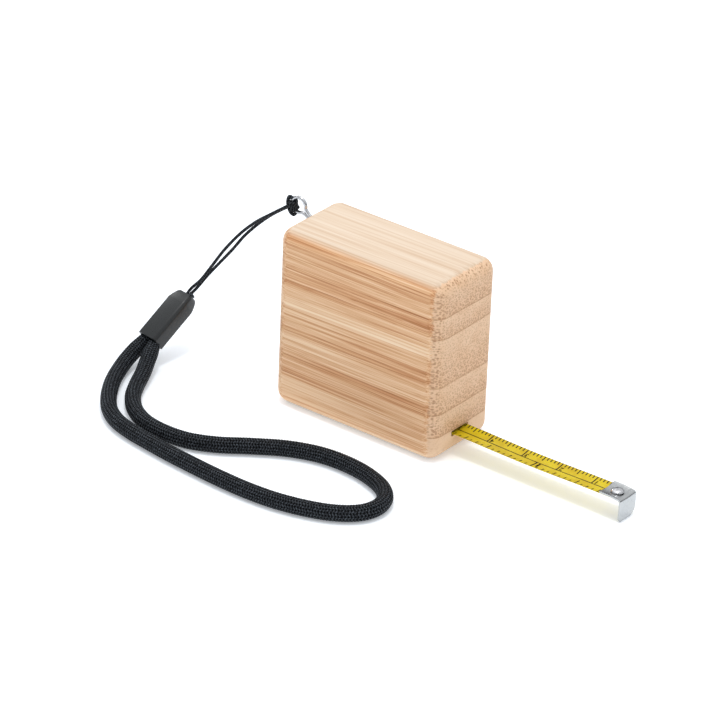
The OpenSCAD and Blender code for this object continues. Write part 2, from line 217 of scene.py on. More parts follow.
def wood_side(s, height, broad, middle, fine, hair):
    """Colour where the fibres run along the surface"""
    tone = s.math("MULTIPLY_ADD", broad, 0.7, 0.09)
    # Streaks of the grain, a darker band near the top, and a lighter band near the bottom that is
    # painted light
    for place, reach, change in STREAKS_AND_PAINTED_LIGHT:
        away = s.math("ABSOLUTE", s.math("SUBTRACT", height, place))
        tone = s.math("ADD", tone, s.span(away, reach * 0.3, reach * 1.3, change * 0.24, 0.0))
    tone = s.math("MULTIPLY_ADD", s.math("SUBTRACT", middle, 0.5), 0.42, tone)
    tone = s.math("MULTIPLY_ADD", s.math("SUBTRACT", fine, 0.5), 1.1, tone)
    tone = s.math("MULTIPLY_ADD", s.math("SUBTRACT", hair, 0.5), 0.9, tone)
    # Thin dark veins run where the middling streaks cross their mean
    vein = s.span(s.math("ABSOLUTE", s.math("SUBTRACT", middle, 0.5)), 0.0, 0.014, 1.0, 0.0)
    vein = s.math("MULTIPLY", vein, s.span(broad, 0.36, 0.6, 1.0, 0.25))
    tone = s.math("MULTIPLY_ADD", vein, -0.27, tone)
    line = s.span(s.math("ABSOLUTE", s.math("SUBTRACT", fine, 0.47)), 0.0, 0.02, 1.0, 0.0)
    tone = s.math("MULTIPLY_ADD", line, -0.13, tone)
    return s.ramp(tone, ((0.0, srgb(178, 116, 70)), (0.22, srgb(207, 149, 103)),
                         (0.48, srgb(230, 187, 144)), (0.75, srgb(242, 208, 171)),
                         (1.0, srgb(248, 221, 189))))


def wood_dots(s, bent, pitch, size):
    """Cut ends of the bundles of fibres, a pitch apart in millimetres"""
    cells = s.node("ShaderNodeMapping", {"Vector": bent, "Scale": (0.06, 1.0, 1.0)}).outputs[0]
    away = s.node("ShaderNodeTexVoronoi", {"Vector": cells, "Scale": 1 / pitch,
                                           "Randomness": 0.75}).outputs["Distance"]
    return s.span(s.math("DIVIDE", away, size), 0.6, 1.3, 1.0, 0.0)


def wood_end(s, bent, height, broad, facing):
    """(colour, dots) where the fibres are cut across"""
    dense = 0.35
    for start, end in zip(SEAMS, SEAMS[1:] + (STRIP_END,)):
        up = s.math("DIVIDE", s.math("SUBTRACT", height, start), end - start)
        inside = s.math("MULTIPLY", s.math("GREATER_THAN", up, 0.0),
                        s.math("LESS_THAN", up, 1.0))
        dense = s.math("ADD", dense, s.math("MULTIPLY", inside, s.span(up, 0.0, 1.0, 0.65, -0.1)))
    small = wood_dots(s, bent, 0.6, s.math("MULTIPLY_ADD", dense, 0.16, 0.3))
    large = wood_dots(s, bent, 0.68, s.math("MULTIPLY_ADD", dense, 0.12, 0.31))
    oblique = s.span(facing, 0.8, 1.0, 1.0, 0.15)
    above_foot = s.span(height, SEAMS[0] - 0.4, SEAMS[0] + 0.4, 0.25, 1.0)
    small = s.math("MULTIPLY", small, s.math("MULTIPLY_ADD", dense, 0.45, 0.4))
    dots = s.math("MAXIMUM", small, s.math("MULTIPLY", large, oblique))
    dots = s.math("MULTIPLY", dots, above_foot)
    tone = s.math("ADD", s.math("MULTIPLY", broad, 0.5), s.math("MULTIPLY", dense, -0.22))
    colour = s.ramp(s.math("ADD", tone, 0.36),
                    ((0.0, srgb(209, 164, 126)), (0.4, srgb(226, 187, 150)),
                     (0.8, srgb(237, 205, 172))))
    colour = s.mix(s.math("MULTIPLY", dots, 0.66), colour, srgb(158, 104, 66))
    for seam in SEAMS:
        away = s.math("SUBTRACT", height, seam)
        line = s.math("MULTIPLY", s.span(away, -0.08, 0.0), s.span(away, 0.05, 0.7, 1.0, 0.0))
        colour = s.mix(s.math("MULTIPLY", line, 0.4), colour, srgb(172, 122, 84))
    return colour, dots


def bamboo(name, shift=(0, 0, 0)):
    """Laminated bamboo with its fibres along X: streaks on the sides, dots on the cut ends"""
    s = Shader(name)
    bent = wood_place(s, shift)
    height = s.node("ShaderNodeSeparateXYZ", {0: bent}).outputs[2]
    broad = wood_streaks(s, bent, 0.3, 0.008, 1.0)
    middle = wood_streaks(s, bent, 1.1, 0.012)
    fine = wood_streaks(s, bent, 2.4, 0.025)
    hair = wood_streaks(s, bent, 6.5, 0.04, 1.0)
    normal = s.node("ShaderNodeSeparateXYZ",
                    {0: s.node("ShaderNodeTexCoord").outputs["Normal"]}).outputs
    facing = s.math("ABSOLUTE", normal[0])
    ragged = s.math("MULTIPLY_ADD", s.math("SUBTRACT", fine, 0.5), 0.5, facing)
    cut = s.span(ragged, 0.33, 0.53)
    side = wood_side(s, height, broad, middle, fine, hair)
    # Upper and lower faces are split along the strips and look paler and more even
    pale = s.ramp(s.math("MULTIPLY_ADD", middle, 0.7, s.math("MULTIPLY", fine, 0.5)),
                  ((0.42, srgb(206, 178, 150)), (0.58, srgb(217, 195, 171)),
                   (0.76, srgb(224, 206, 186))))
    flat = s.span(s.math("ABSOLUTE", normal[2]), 0.55, 0.95)
    side = s.mix(flat, side, pale)
    end, dots = wood_end(s, bent, height, broad, facing)
    colour = s.mix(cut, side, end)
    relief = s.math("ADD", s.math("MULTIPLY", fine, 0.6), s.math("MULTIPLY", dots, -0.5))
    s.bump(relief, 0.035 * MM, 0.8)
    return s.finish(base_color=colour, roughness=s.span(fine, 0.3, 0.7, 0.5, 0.64),
                    specular_ior_level=0.3)


def scale_lines(s):
    """1 on the scale's lines: millimetres above the middle, sixteenths of an inch below"""
    marks = s.node("ShaderNodeUVMap", uv_map="scale")
    split = s.node("ShaderNodeSeparateXYZ", {0: marks.outputs[0]})
    along, across = split.outputs[0], split.outputs[1]

    def every(step, width, reach_from, reach_to):
        """Lines of a width every step, from one height across the blade to another"""
        turn = s.math("FRACT", s.math("ADD", s.math("DIVIDE", along, step), 0.5))
        away = s.math("MULTIPLY", s.math("ABSOLUTE", s.math("SUBTRACT", turn, 0.5)), step)
        line = s.math("LESS_THAN", away, width / 2)
        above = s.math("GREATER_THAN", across, reach_from)
        below = s.math("LESS_THAN", across, reach_to)
        return s.math("MULTIPLY", line, s.math("MULTIPLY", above, below))

    edge = 4.0
    ink = s.math("LESS_THAN", s.math("ABSOLUTE", across), 0.14)
    for step, width, low, high in ((1, 0.3, 1.95, edge), (5, 0.3, 1.3, edge), (10, 0.32, 0, edge),
                                   (INCH / 16, 0.3, -edge, -2.0), (INCH / 8, 0.32, -edge, -1.7),
                                   (INCH / 4, 0.32, -edge, -1.3), (INCH / 2, 0.32, -edge, -0.8),
                                   (INCH, 0.4, -edge, 0)):
        ink = s.math("MAXIMUM", ink, every(step, width, low, high))
    return ink


def blade_paint(name, printed):
    """Glossy yellow coating, with the lines of the scale if it is printed"""
    s = Shader(name)
    where = s.place()
    cloud = s.noise(where, 0.35, 3.0, 0.6)
    speck = s.noise(where, 9.0, 2.0, 0.6)
    colour = s.mix(s.span(cloud, 0.3, 0.7), srgb(213, 190, 24), srgb(197, 167, 12))
    colour = s.mix(s.math("MULTIPLY", s.span(speck, 0.45, 0.7), 0.2), colour, srgb(214, 196, 56))
    dull = s.span(cloud, 0.3, 0.7, 0.26, 0.36)
    if printed:
        ink = scale_lines(s)
        wear = s.span(s.noise(where, 6.0, 2.0), 0.25, 0.6, 0.94, 1.0)
        colour = s.mix(s.math("MULTIPLY", ink, wear), colour, srgb(6, 5, 2))
        dull = s.math("MULTIPLY_ADD", ink, 0.3, dull)
    s.bump(s.noise(where, 1.6, 2.0), 0.01 * MM, 0.5)
    return s.finish(base_color=colour, roughness=dull, specular_ior_level=0.22)


def ink(name):
    s = Shader(name)
    cloud = s.noise(s.place(), 4.0, 3.0)
    return s.finish(base_color=s.mix(cloud, srgb(10, 8, 4), srgb(22, 18, 8)), roughness=0.5,
                    specular_ior_level=0.06)


def braid_textile(name, threads):
    """Black polyester with so many fine threads to the millimetre, with painted shade in the
    hollows and painted highlights as grey flecks on the crests
    """
    s = Shader(name)
    marks = s.node("ShaderNodeUVMap", uv_map="cord").outputs[0]
    split = s.node("ShaderNodeSeparateXYZ", {0: marks})
    slant = s.math("ADD", split.outputs[0], split.outputs[1])
    thread = s.math("SINE", s.math("MULTIPLY", slant, threads * 2 * math.pi))
    fuzz = s.noise(s.place(), 5.0, 3.0, 0.7)
    height = s.node("ShaderNodeUVMap", uv_map="crest").outputs[0]
    crest = s.span(s.node("ShaderNodeSeparateXYZ", {0: height}).outputs[0], 0.5, 1.0)
    # Painted highlights: grey flecks on the crests of the strands; painted shade: near black in
    # the hollows between them
    painted_highlight_flecks = s.mix(s.span(fuzz, 0.44, 0.62), srgb(8, 10, 12), srgb(90, 96, 103))
    colour = s.mix(crest, srgb(1, 1, 2), painted_highlight_flecks)
    s.bump(s.math("ADD", s.math("MULTIPLY", thread, 0.5), fuzz), 0.03 * MM, 0.6)
    dull = s.math("ADD", s.span(fuzz, 0.3, 0.7, 0.26, 0.38),
                  s.math("MULTIPLY", s.math("SUBTRACT", 1.0, crest), 0.6))
    return s.finish(base_color=colour, roughness=dull, specular_ior_level=0.09)


def plastic(name, low, high, roughness, grain=6.0):
    """Moulded plastic with a fine spark-eroded grain"""
    s = Shader(name)
    where = s.place()
    cloud = s.noise(where, 0.5, 2.0)
    fine = s.noise(where, grain, 2.0, 0.6)
    s.bump(fine, 0.012 * MM, 0.5)
    return s.finish(base_color=s.mix(cloud, low, high),
                    roughness=s.span(fine, 0.3, 0.7, roughness - 0.05, roughness + 0.08))


def metal(name, low, high, roughness, brush):
    """Steel: brush is how fine its marks are along X, Y and Z"""
    s = Shader(name)
    marks = s.noise(s.place(brush), 1.0, 3.0, 0.6)
    cloud = s.noise(s.place(), 0.6, 2.0)
    s.bump(marks, 0.004 * MM, 0.6)
    return s.finish(base_color=s.mix(cloud, low, high), metallic=1.0,
                    roughness=s.span(marks, 0.3, 0.7, roughness - 0.05, roughness + 0.07))


def foam(name):
    s = Shader(name)
    cells = s.node("ShaderNodeTexVoronoi", {"Vector": s.place(), "Scale": 3.0})
    s.bump(cells.outputs["Distance"], 0.1 * MM, 0.8)
    return s.finish(base_color=s.mix(cells.outputs["Distance"], srgb(70, 70, 73),
                                     srgb(110, 110, 114)), roughness=0.9)


# ---------- mesh helpers ----------

def ring_faces(rows, around):
    """Four-sided faces between rings of points, and a cap on each end"""
    faces = []
    for i in range(rows - 1):
        for k in range(around):
            k2 = (k + 1) % around
            faces.append((i * around + k, i * around + k2, (i + 1) * around + k2,
                          (i + 1) * around + k))
    faces.append(tuple(range(around - 1, -1, -1)))
    faces.append(tuple((rows - 1) * around + k for k in range(around)))
    return faces


def slab_faces(n, m):
    """(faces, kinds) of a slab from n rows of m points and as many below; kind 0 is the top"""
    below = n * m
    faces, kinds = [], []
    for i in range(n - 1):
        for k in range(m - 1):
            a, b, c, d = i * m + k, i * m + k + 1, (i + 1) * m + k + 1, (i + 1) * m + k
            faces += [(a, d, c, b), (a + below, b + below, c + below, d + below)]
            kinds += [0, 1]
    rim = [(i * m, i * m + m) for i in range(n - 1)]
    rim += [(i * m + 2 * m - 1, i * m + m - 1) for i in range(n - 1)]
    rim += [(k + 1, k) for k in range(m - 1)]
    rim += [(below - m + k, below - m + k + 1) for k in range(m - 1)]
    faces += [(a, a + below, b + below, b) for a, b in rim]
    return faces, kinds + [1] * len(rim)


def new_piece(name, points, faces, materials, sharp=35):
    """A mesh piece from points in metres, smooth but for edges of more than sharp degrees"""
    mesh = bpy.data.meshes.new(name)
    mesh.from_pydata([tuple(map(float, p)) for p in points], [], faces)
    mesh.validate()
    work = bmesh.new()
    work.from_mesh(mesh)
    bmesh.ops.recalc_face_normals(work, faces=work.faces)
    work.to_mesh(mesh)
    work.free()
    for polygon in mesh.polygons:
        polygon.use_smooth = True
    mesh.set_sharp_from_angle(angle=math.radians(sharp))
    for material in materials:
        mesh.materials.append(material)
    return placed(name, mesh)


def apply_modifiers(piece):
    """The piece's mesh becomes what its modifiers make of it"""
    graph = bpy.context.evaluated_depsgraph_get()
    mesh = bpy.data.meshes.new_from_object(piece.evaluated_get(graph))
    piece.modifiers.clear()
    piece.data = mesh


def bevelled(piece, width, segments, angle):
    """Rounds the piece's sharp edges"""
    bevel = piece.modifiers.new("bevel", "BEVEL")
    bevel.width = width
    bevel.segments = segments
    bevel.limit_method = "ANGLE"
    bevel.angle_limit = math.radians(angle)
    apply_modifiers(piece)
    for polygon in piece.data.polygons:
        polygon.use_smooth = True
    piece.data.set_sharp_from_angle(angle=math.radians(60))


def smooth_route(route, spacing):
    """Points a spacing apart on a smooth curve through the route, as part.scad draws it"""
    p = np.array(route, float)
    p = np.vstack([p[0], p, p[-1]])
    out = []
    t = np.linspace(0, 1, 40, endpoint=False)[:, None]
    for a, b, c, d in zip(p, p[1:], p[2:], p[3:]):
        out.append(0.5 * (2 * b + (c - a) * t + (2 * a - 5 * b + 4 * c - d) * t ** 2
                          + (3 * b - a - 3 * c + d) * t ** 3))
    return spaced(np.vstack(out + [p[-1:]]), spacing)


def distances(line):
    """How far along the line each of its points is"""
    return np.concatenate([[0], np.cumsum(np.linalg.norm(np.diff(line, axis=0), axis=1))])


def spaced(line, spacing):
    along = distances(line)
    at = np.linspace(0, along[-1], round(along[-1] / spacing) + 1)
    return np.stack([np.interp(at, along, line[:, k]) for k in range(3)], axis=1)


def frames_along(line):
    """Two directions square to the line at each point, turning as little as possible"""
    tangent = np.gradient(line, axis=0)
    tangent /= np.linalg.norm(tangent, axis=1)[:, None]
    side = np.cross(tangent[0], (0, 0, 1))
    if np.linalg.norm(side) < 0.1:
        side = np.cross(tangent[0], (1, 0, 0))
    sides = []
    for t in tangent:
        side = side - t * (side @ t)
        side /= np.linalg.norm(side)
        sides.append(side)
    sides = np.array(sides)
    return sides, np.cross(tangent, sides)


def tube_mesh(line, radius, around, relief=None):
    """(points, faces, uvs, crests) of a closed tube; relief(along, turn) is added to the radius"""
    n = len(line)
    side, up = frames_along(line)
    along = distances(line)
    turn = np.arange(around) / around
    r = np.broadcast_to(np.asarray(radius, float).reshape(-1, 1), (n, around)).copy()
    crest = np.ones((n, around))
    if relief is not None:
        height = np.broadcast_to(relief(along[:, None], turn[None, :]), r.shape)
        r = r + height
        crest = 1 + height / max(1e-9, -height.min())
    angle = 2 * math.pi * turn
    ring = (np.cos(angle)[None, :, None] * side[:, None, :]
            + np.sin(angle)[None, :, None] * up[:, None, :])
    points = (line[:, None, :] + r[:, :, None] * ring).reshape(-1, 3)
    uvs = []
    girth = 2 * math.pi * float(np.mean(radius)) / MM
    for u0, u1 in zip(along / MM, along[1:] / MM):
        for k in range(around):
            v0, v1 = k / around * girth, (k + 1) / around * girth
            uvs.append(((u0, v0), (u0, v1), (u1, v1), (u1, v0)))
    uvs += [((0, 0),) * around] * 2
    return points, ring_faces(n, around), uvs, crest.ravel()


def tube(name, line, radius, around, material, relief=None):
    """A cord piece along a line, with a UV map in millimetres along and round it"""
    points, faces, uvs, crest = tube_mesh(np.asarray(line), radius, around, relief)
    mesh = bpy.data.meshes.new(name)
    mesh.from_pydata(points.tolist(), [], faces)
    layer = mesh.uv_layers.new(name="cord")
    layer.data.foreach_set("uv", np.array([c for face in uvs for c in face]).ravel())
    corners = np.array([corner for face in faces for corner in face])
    layer = mesh.uv_layers.new(name="crest")
    layer.data.foreach_set("uv", np.stack([crest[corners], 0 * corners], axis=1).ravel())
    for polygon in mesh.polygons:
        polygon.use_smooth = True
    mesh.materials.append(material)
    return placed(name, mesh)


def joined(name, pieces):
    """One piece from several"""
    bpy.ops.object.select_all(action="DESELECT")
    for piece in pieces:
        piece.select_set(True)
    bpy.context.view_layer.objects.active = pieces[0]
    bpy.ops.object.join()
    pieces[0].name = name
    return pieces[0]


def lathe(name, profile, centre, materials, around, relief):
    """A piece turned round a vertical axis: profile is (radius, height) in millimetres"""
    points = []
    for radius, height in profile:
        for k in range(around):
            angle = 2 * math.pi * k / around
            points.append((radius * math.cos(angle) * MM + centre[0],
                           radius * math.sin(angle) * MM + centre[1],
                           (height + relief(radius, angle)) * MM + centre[2]))
    return new_piece(name, points, ring_faces(len(profile), around), materials)


# ---------- cords ----------

WRIST_D = 0.004
THIN_D = 0.0008
# Each of the thin cord's three plies goes round once in this length
THIN_LAY = 1.6 * MM
# Centreline points of the cords, the same as in the CAD source
THIN_ROUTE_A = (
    (-0.0297, -0.0005, 0.0461), (-0.0342, -0.0009, 0.0426), (-0.0388, -0.001, 0.0389),
    (-0.0433, -0.0011, 0.0343), (-0.0477, -0.0012, 0.0287), (-0.0513, -0.0013, 0.0232),
    (-0.054, -0.0021, 0.0187), (-0.056, -0.0033, 0.0161), (-0.0566, -0.0044, 0.01455))
THIN_ROUTE_B = (
    (-0.0297, 0.0004, 0.0458), (-0.0344, 0, 0.0422), (-0.0384, -0.0002, 0.0384),
    (-0.0422, -0.0005, 0.0341), (-0.0457, -0.0007, 0.0292), (-0.0494, -0.0008, 0.0244),
    (-0.0533, -0.0007, 0.0194), (-0.0552, -0.002, 0.0161), (-0.05575, -0.00455, 0.01455))
WRIST_ROUTE = (
    (-0.05975, -0.01575, 0.006), (-0.0603, -0.0186, 0.0041), (-0.0602, -0.0223, 0.0027),
    (-0.059, -0.0265, 0.002), (-0.0568, -0.0313, 0.002), (-0.054, -0.036, 0.002),
    (-0.0508, -0.0403, 0.002), (-0.047, -0.044, 0.002), (-0.0425, -0.0466, 0.002),
    (-0.037, -0.0482, 0.002), (-0.031, -0.0492, 0.002), (-0.024, -0.0502, 0.002),
    (-0.016, -0.051, 0.002), (-0.008, -0.0516, 0.002), (0, -0.0518, 0.002),
    (0.008, -0.0512, 0.002), (0.0155, -0.0495, 0.002), (0.022, -0.0468, 0.002),
    (0.0265, -0.043, 0.002), (0.0282, -0.0385, 0.002), (0.0272, -0.034, 0.002),
    (0.0236, -0.0303, 0.002), (0.0175, -0.0278, 0.002), (0.0105, -0.0268, 0.002),
    (0.003, -0.0274, 0.002), (-0.0045, -0.0302, 0.002), (-0.0115, -0.0348, 0.002),
    (-0.018, -0.0396, 0.002), (-0.0245, -0.0426, 0.002), (-0.031, -0.0433, 0.002),
    (-0.0375, -0.0424, 0.002), (-0.043, -0.0396, 0.002), (-0.0475, -0.0352, 0.002),
    (-0.0506, -0.0302, 0.002), (-0.0528, -0.0252, 0.0026), (-0.0549, -0.0206, 0.0041),
    (-0.05665, -0.01625, 0.006))
# How far each cord goes on inside the ferrule
IN_FERRULE = 1.0 * MM
# Direction of the ferrule from its wide end to its tip
FERRULE_PITCH = math.radians(36)
FERRULE_YAW = math.radians(10)
FERRULE_AXIS = Vector((math.sin(FERRULE_YAW) * math.cos(FERRULE_PITCH),
                       math.cos(FERRULE_YAW) * math.cos(FERRULE_PITCH),
                       math.sin(FERRULE_PITCH)))


def braid_relief(radius, strands, slope, depth):
    """Relief of a braid of flat strands, two over and two under, at a slope along the cord"""
    pitch = 2 * math.pi * radius / strands / slope

    def relief(along, turn):
        a = strands * turn + along / pitch
        b = strands * turn - along / pitch
        a, b = np.broadcast_arrays(a, b)
        i, j = np.floor(a), np.floor(b)

        def strand(crossing, other, index, sign):
            width = np.sqrt(np.clip(1 - (2 * (crossing % 1) - 1) ** 2, 0, 1))
            over = sign * np.cos(math.pi / 2 * (other + index + 0.5))
            return 0.5 * width + 0.5 * np.clip(over * 1.3, -1, 1) * width ** 0.5
        top = np.maximum(strand(a, b, i, 1), strand(b, a, j, -1))
        return depth * (top - 1)
    return relief


def ply_relief(plies, lay, depth):
    """Relief of a twisted cord with a number of plies that turn once in each lay"""
    def relief(along, turn):
        wave = np.abs(np.sin(math.pi * plies * (turn + along / lay)))
        return depth * (np.sqrt(wave) - 1)
    return relief


def make_wrist_cord(textile):
    """The thick loop, pinched where its two ends go into the ferrule"""
    into = np.array(FERRULE_AXIS) * IN_FERRULE
    spacing = 0.14 * MM
    pinched_r, pinched_for = 1.5 * MM, 3.5 * MM
    line = smooth_route(WRIST_ROUTE, spacing)
    line = np.vstack([line[0] + into, line[0] + into / 2, line, line[-1] + into / 2,
                      line[-1] + into])
    line = spaced(line, spacing)
    from_end = np.minimum(np.arange(len(line)), np.arange(len(line))[::-1]) * spacing
    grown = np.clip((from_end - IN_FERRULE) / pinched_for, 0, 1)
    radius = pinched_r + (WRIST_D / 2 - pinched_r) * grown ** 0.8
    wrist = tube("wrist_cord_braid", line, radius, 96, textile,
                 braid_relief(WRIST_D / 2, 16, 1.15, 0.22 * MM))
    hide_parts("wrist_cord")
    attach(wrist, "root")


def make_thin_cord(textile):
    """Two twisted strands from the hitch into the tip of the ferrule"""
    into = np.array(FERRULE_AXIS) * IN_FERRULE
    for name, route in (("a", THIN_ROUTE_A), ("b", THIN_ROUTE_B)):
        line = smooth_route(route, 0.12 * MM)
        line = np.vstack([line, line[-1] - into / 2, line[-1] - into])
        strand = tube("thin_cord_strand_" + name, line, THIN_D / 2, 20, textile,
                      ply_relief(3, THIN_LAY, 0.07 * MM))
        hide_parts("thin_cord_" + name)
        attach(strand, "root")


# ---------- strap eye, hitch and ferrule ----------

EDGE_R = 3.5 * MM
EYE_TILT = math.radians(35)
EYE_STAND_OFF = 3.9 * MM
EYE_RING_R = 1.95 * MM
EYE_WIRE_R = 0.45 * MM


def eye_frame():
    """(where the eye leaves the wood, the way it points, the way across it)"""
    low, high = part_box("case_body")
    out = Vector((-math.cos(EYE_TILT), 0, math.sin(EYE_TILT)))
    across = Vector((math.sin(EYE_TILT), 0, math.cos(EYE_TILT)))
    corner = Vector((low.x + EDGE_R, 0, high.z - EDGE_R))
    return corner + out * EDGE_R, out, across


def make_eye(steel):
    """A wire bent round into a ring, with both its legs in the wood"""
    base, out, across = eye_frame()
    centre = base + out * EYE_STAND_OFF
    leg = 0.47 * MM
    opening = math.radians(24)
    line = []
    for depth in (-2.0, -1.0, 0.0, 0.9):
        line.append(base + out * depth * MM + across * leg)
    for k in range(25):
        angle = opening + (2 * math.pi - 2 * opening) * k / 24
        line.append(centre + (-out * math.cos(angle) + across * math.sin(angle)) * EYE_RING_R)
    for depth in (0.9, 0.0, -1.0, -2.0):
        line.append(base + out * depth * MM - across * leg)
    wire = smooth_route([tuple(p) for p in line], 0.15 * MM)
    eye = tube("wire_eye", wire, EYE_WIRE_R, 24, steel)
    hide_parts("strap_eye")
    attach(eye, "root")


def make_hitch(textile):
    """The thin cord's loop, hitched round the outer side of the ring"""
    base, out, _ = eye_frame()
    centre = np.array(base + out * EYE_STAND_OFF)
    tip = math.radians(-110)
    wrap_r = EYE_WIRE_R + THIN_D / 2

    def at(angle, outwards, sideways):
        """A point by the ring: its angle round it, how far outside the wire, how far along Y"""
        away = np.array((math.sin(angle), 0, math.cos(angle)))
        return centre + away * (EYE_RING_R + outwards) + np.array((0, sideways, 0))

    line = []
    steps, turns, spread = 80, 3.75, 42
    for k in range(steps + 1):
        share = k / steps
        angle = tip + math.radians(spread * (1 - 2 * share))
        turn = 2 * math.pi * turns * share
        line.append(at(angle, wrap_r * math.cos(turn), wrap_r * math.sin(turn)))
    pieces = [tube("wraps", smooth_route(line, 0.12 * MM), THIN_D / 2 * 1.08, 16, textile,
                   ply_relief(3, THIN_LAY, 0.06 * MM))]
    # The bight lies over the wraps and its ends stand out above and below
    bight = []
    for angle, outwards, sideways in ((50, -0.1, 0.2), (53, 0.6, -0.2), (51, 1.1, -0.5),
                                      (38, 1.05, -0.65), (18, 1.0, -0.65), (0, 0.95, -0.6),
                                      (-16, 1.0, -0.65), (-32, 1.1, -0.65), (-46, 1.1, -0.45),
                                      (-50, 0.5, -0.2), (-48, -0.1, 0.2)):
        bight.append(at(tip + math.radians(angle), outwards * MM, sideways * MM))
    pieces.append(tube("bight", smooth_route(bight, 0.12 * MM), THIN_D / 2 * 1.1, 16, textile,
                       ply_relief(3, THIN_LAY, 0.06 * MM)))
    hitch = joined("cord_hitch", pieces)
    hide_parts("cord_knot")
    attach(hitch, "root")


def make_ferrule(material):
    """A moulded block with bevelled edges, a blunt tip and a mouth for the two cord ends"""
    base = Vector((-0.0582, -0.016, 0.006))
    length, width, height = 14.5, 6.4, 4.8
    tip_length, tip_inset, chamfer = 3.0, 1.0, 0.7
    wall, mouth_depth = 0.55, 0.9
    across = Vector((math.cos(FERRULE_YAW), -math.sin(FERRULE_YAW), 0))
    normal = across.cross(FERRULE_AXIS)

    def section(along, inset):
        w, h, k = width / 2 - inset, height / 2 - inset, chamfer * (1 - inset / 4)
        corners = ((-w + k, -h), (w - k, -h), (w, -h + k), (w, h - k),
                   (w - k, h), (-w + k, h), (-w, h - k), (-w, -h + k))
        return [base + (FERRULE_AXIS * along + across * x + normal * y) * MM for x, y in corners]

    rows = [section(mouth_depth, wall), section(0, wall), section(0, 0)]
    rows.append(section(length - tip_length, 0))
    for k in range(1, 7):
        share = k / 6
        inset = tip_inset * (0.55 * share + 0.45 * (1 - math.sqrt(max(0, 1 - share ** 2))))
        rows.append(section(length - tip_length * (1 - share), inset))
    points = [p for row in rows for p in row]
    faces = ring_faces(len(rows), len(rows[0]))
    ferrule = new_piece("strap_ferrule_block", points, faces, [material])
    bevelled(ferrule, 0.16 * MM, 3, 30)
    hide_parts("strap_ferrule")
    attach(ferrule, "root")


def make_thread_end(textile):
    """The trimmed end of the thin cord, beside the hole in the ferrule's tip"""
    start = np.array(THIN_ROUTE_B[-1])
    line = smooth_route([start + np.array(p) * MM for p in
                         ((0.1, 0.0, -0.2), (0.35, 0.15, 0.25), (0.8, 0.2, 0.4),
                          (1.2, 0.1, 0.2), (1.4, 0.0, -0.1))], 0.1 * MM)
    nub = tube("thread_end", line, THIN_D / 2 * 0.85, 14, textile)
    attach(nub, "root")


# ---------- case ----------

def rounded_box(name, low, high, radius, segments, materials):
    """A block with all its edges and corners rounded"""
    work = bmesh.new()
    bmesh.ops.create_cube(work, size=1)
    for vertex in work.verts:
        for k in range(3):
            vertex.co[k] = low[k] if vertex.co[k] < 0 else high[k]
    if radius:
        bmesh.ops.bevel(work, geom=work.edges[:], offset=radius, segments=segments,
                        profile=0.5, affect="EDGES", clamp_overlap=True)
    mesh = bpy.data.meshes.new(name)
    work.to_mesh(mesh)
    work.free()
    for polygon in mesh.polygons:
        polygon.use_smooth = True
    for material in materials:
        mesh.materials.append(material)
    return placed(name, mesh)


def cut_away(piece, cutter):
    """Takes the cutter's shape out of the piece"""
    modifier = piece.modifiers.new("cut", "BOOLEAN")
    modifier.operation = "DIFFERENCE"
    modifier.solver = "EXACT"
    modifier.object = cutter
    apply_modifiers(piece)
    bpy.data.objects.remove(cutter)


def make_block(wood):
    """The case's block, with its pocket from the back and the mouth for the blade"""
    low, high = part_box("case_body")
    panel_low, panel_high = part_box("back_cover")
    cup_low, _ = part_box("mechanism_cup")
    blade_low, blade_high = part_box("blade_front")
    gap = 0.1 * MM
    block = rounded_box("bamboo_block", low, high, EDGE_R, 10, [wood])
    pocket_low = Vector((panel_low.x - gap, cup_low.y - gap, panel_low.z - gap))
    pocket_high = Vector((panel_high.x + gap, high.y + 5 * MM, panel_high.z + gap))
    cut_away(block, rounded_box("pocket", pocket_low, pocket_high, 2 * MM, 4, []))
    side, under, over = 0.3 * MM, 0.32 * MM, 0.55 * MM
    slot_low = Vector((high.x - EDGE_R - MM, blade_low.y - side, blade_low.z - under))
    slot_high = Vector((high.x + 2 * MM, blade_high.y + side, blade_high.z + over))
    cut_away(block, rounded_box("mouth", slot_low, slot_high, 0.3 * MM, 3, []))
    block.data.set_sharp_from_angle(angle=math.radians(35))
    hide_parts("case_body")
    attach(block, "root")


def make_panel(wood):
    """The panel that closes the pocket: round corners, and a fine bevel on its edges"""
    low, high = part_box("back_cover")
    panel = rounded_box("bamboo_panel", low, high, 0, 1, [wood])
    work = bmesh.new()
    work.from_mesh(panel.data)
    uprights = [e for e in work.edges if abs(e.verts[0].co.y - e.verts[1].co.y) > MM]
    bmesh.ops.bevel(work, geom=uprights, offset=1.9 * MM, segments=8, profile=0.5,
                    affect="EDGES")
    work.to_mesh(panel.data)
    work.free()
    bevelled(panel, 0.25 * MM, 2, 50)
    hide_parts("back_cover")
    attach(panel, "root")


# ---------- blade ----------

BLADE_W = 6.0
BLADE_T = 0.13
BLADE_R = 11.45
BLADE_SAG = 0.3
# Over this stretch of X the blade goes over from the case to the hook
ZONE_START = 22.0 * MM
ZONE_END = 23.9 * MM
# How far the numbers stand off the paint, and half their thickness, in millimetres
INK_LIFT = 0.006
INK_HALF = 0.003


def blade_facts():
    low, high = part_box("blade_front")
    return {"y": (low.y + high.y) / 2, "z": low.z + BLADE_T * MM, "end": high.x}


def follow(x):
    """The share of the slide's travel that a point of the blade at x takes part in"""
    t = np.clip((np.asarray(x, float) - ZONE_START) / (ZONE_END - ZONE_START), 0, 1)
    return t * t * (3 - 2 * t)


def place_for(distance, end):
    """Where, at rest, the point of the blade lies that is this far from its tip, in metres"""
    x = np.linspace(ZONE_START, end, 40001)
    fully_out = x + TRAVEL * follow(x)
    return np.interp(end + TRAVEL - np.asarray(distance, float), fully_out, x)


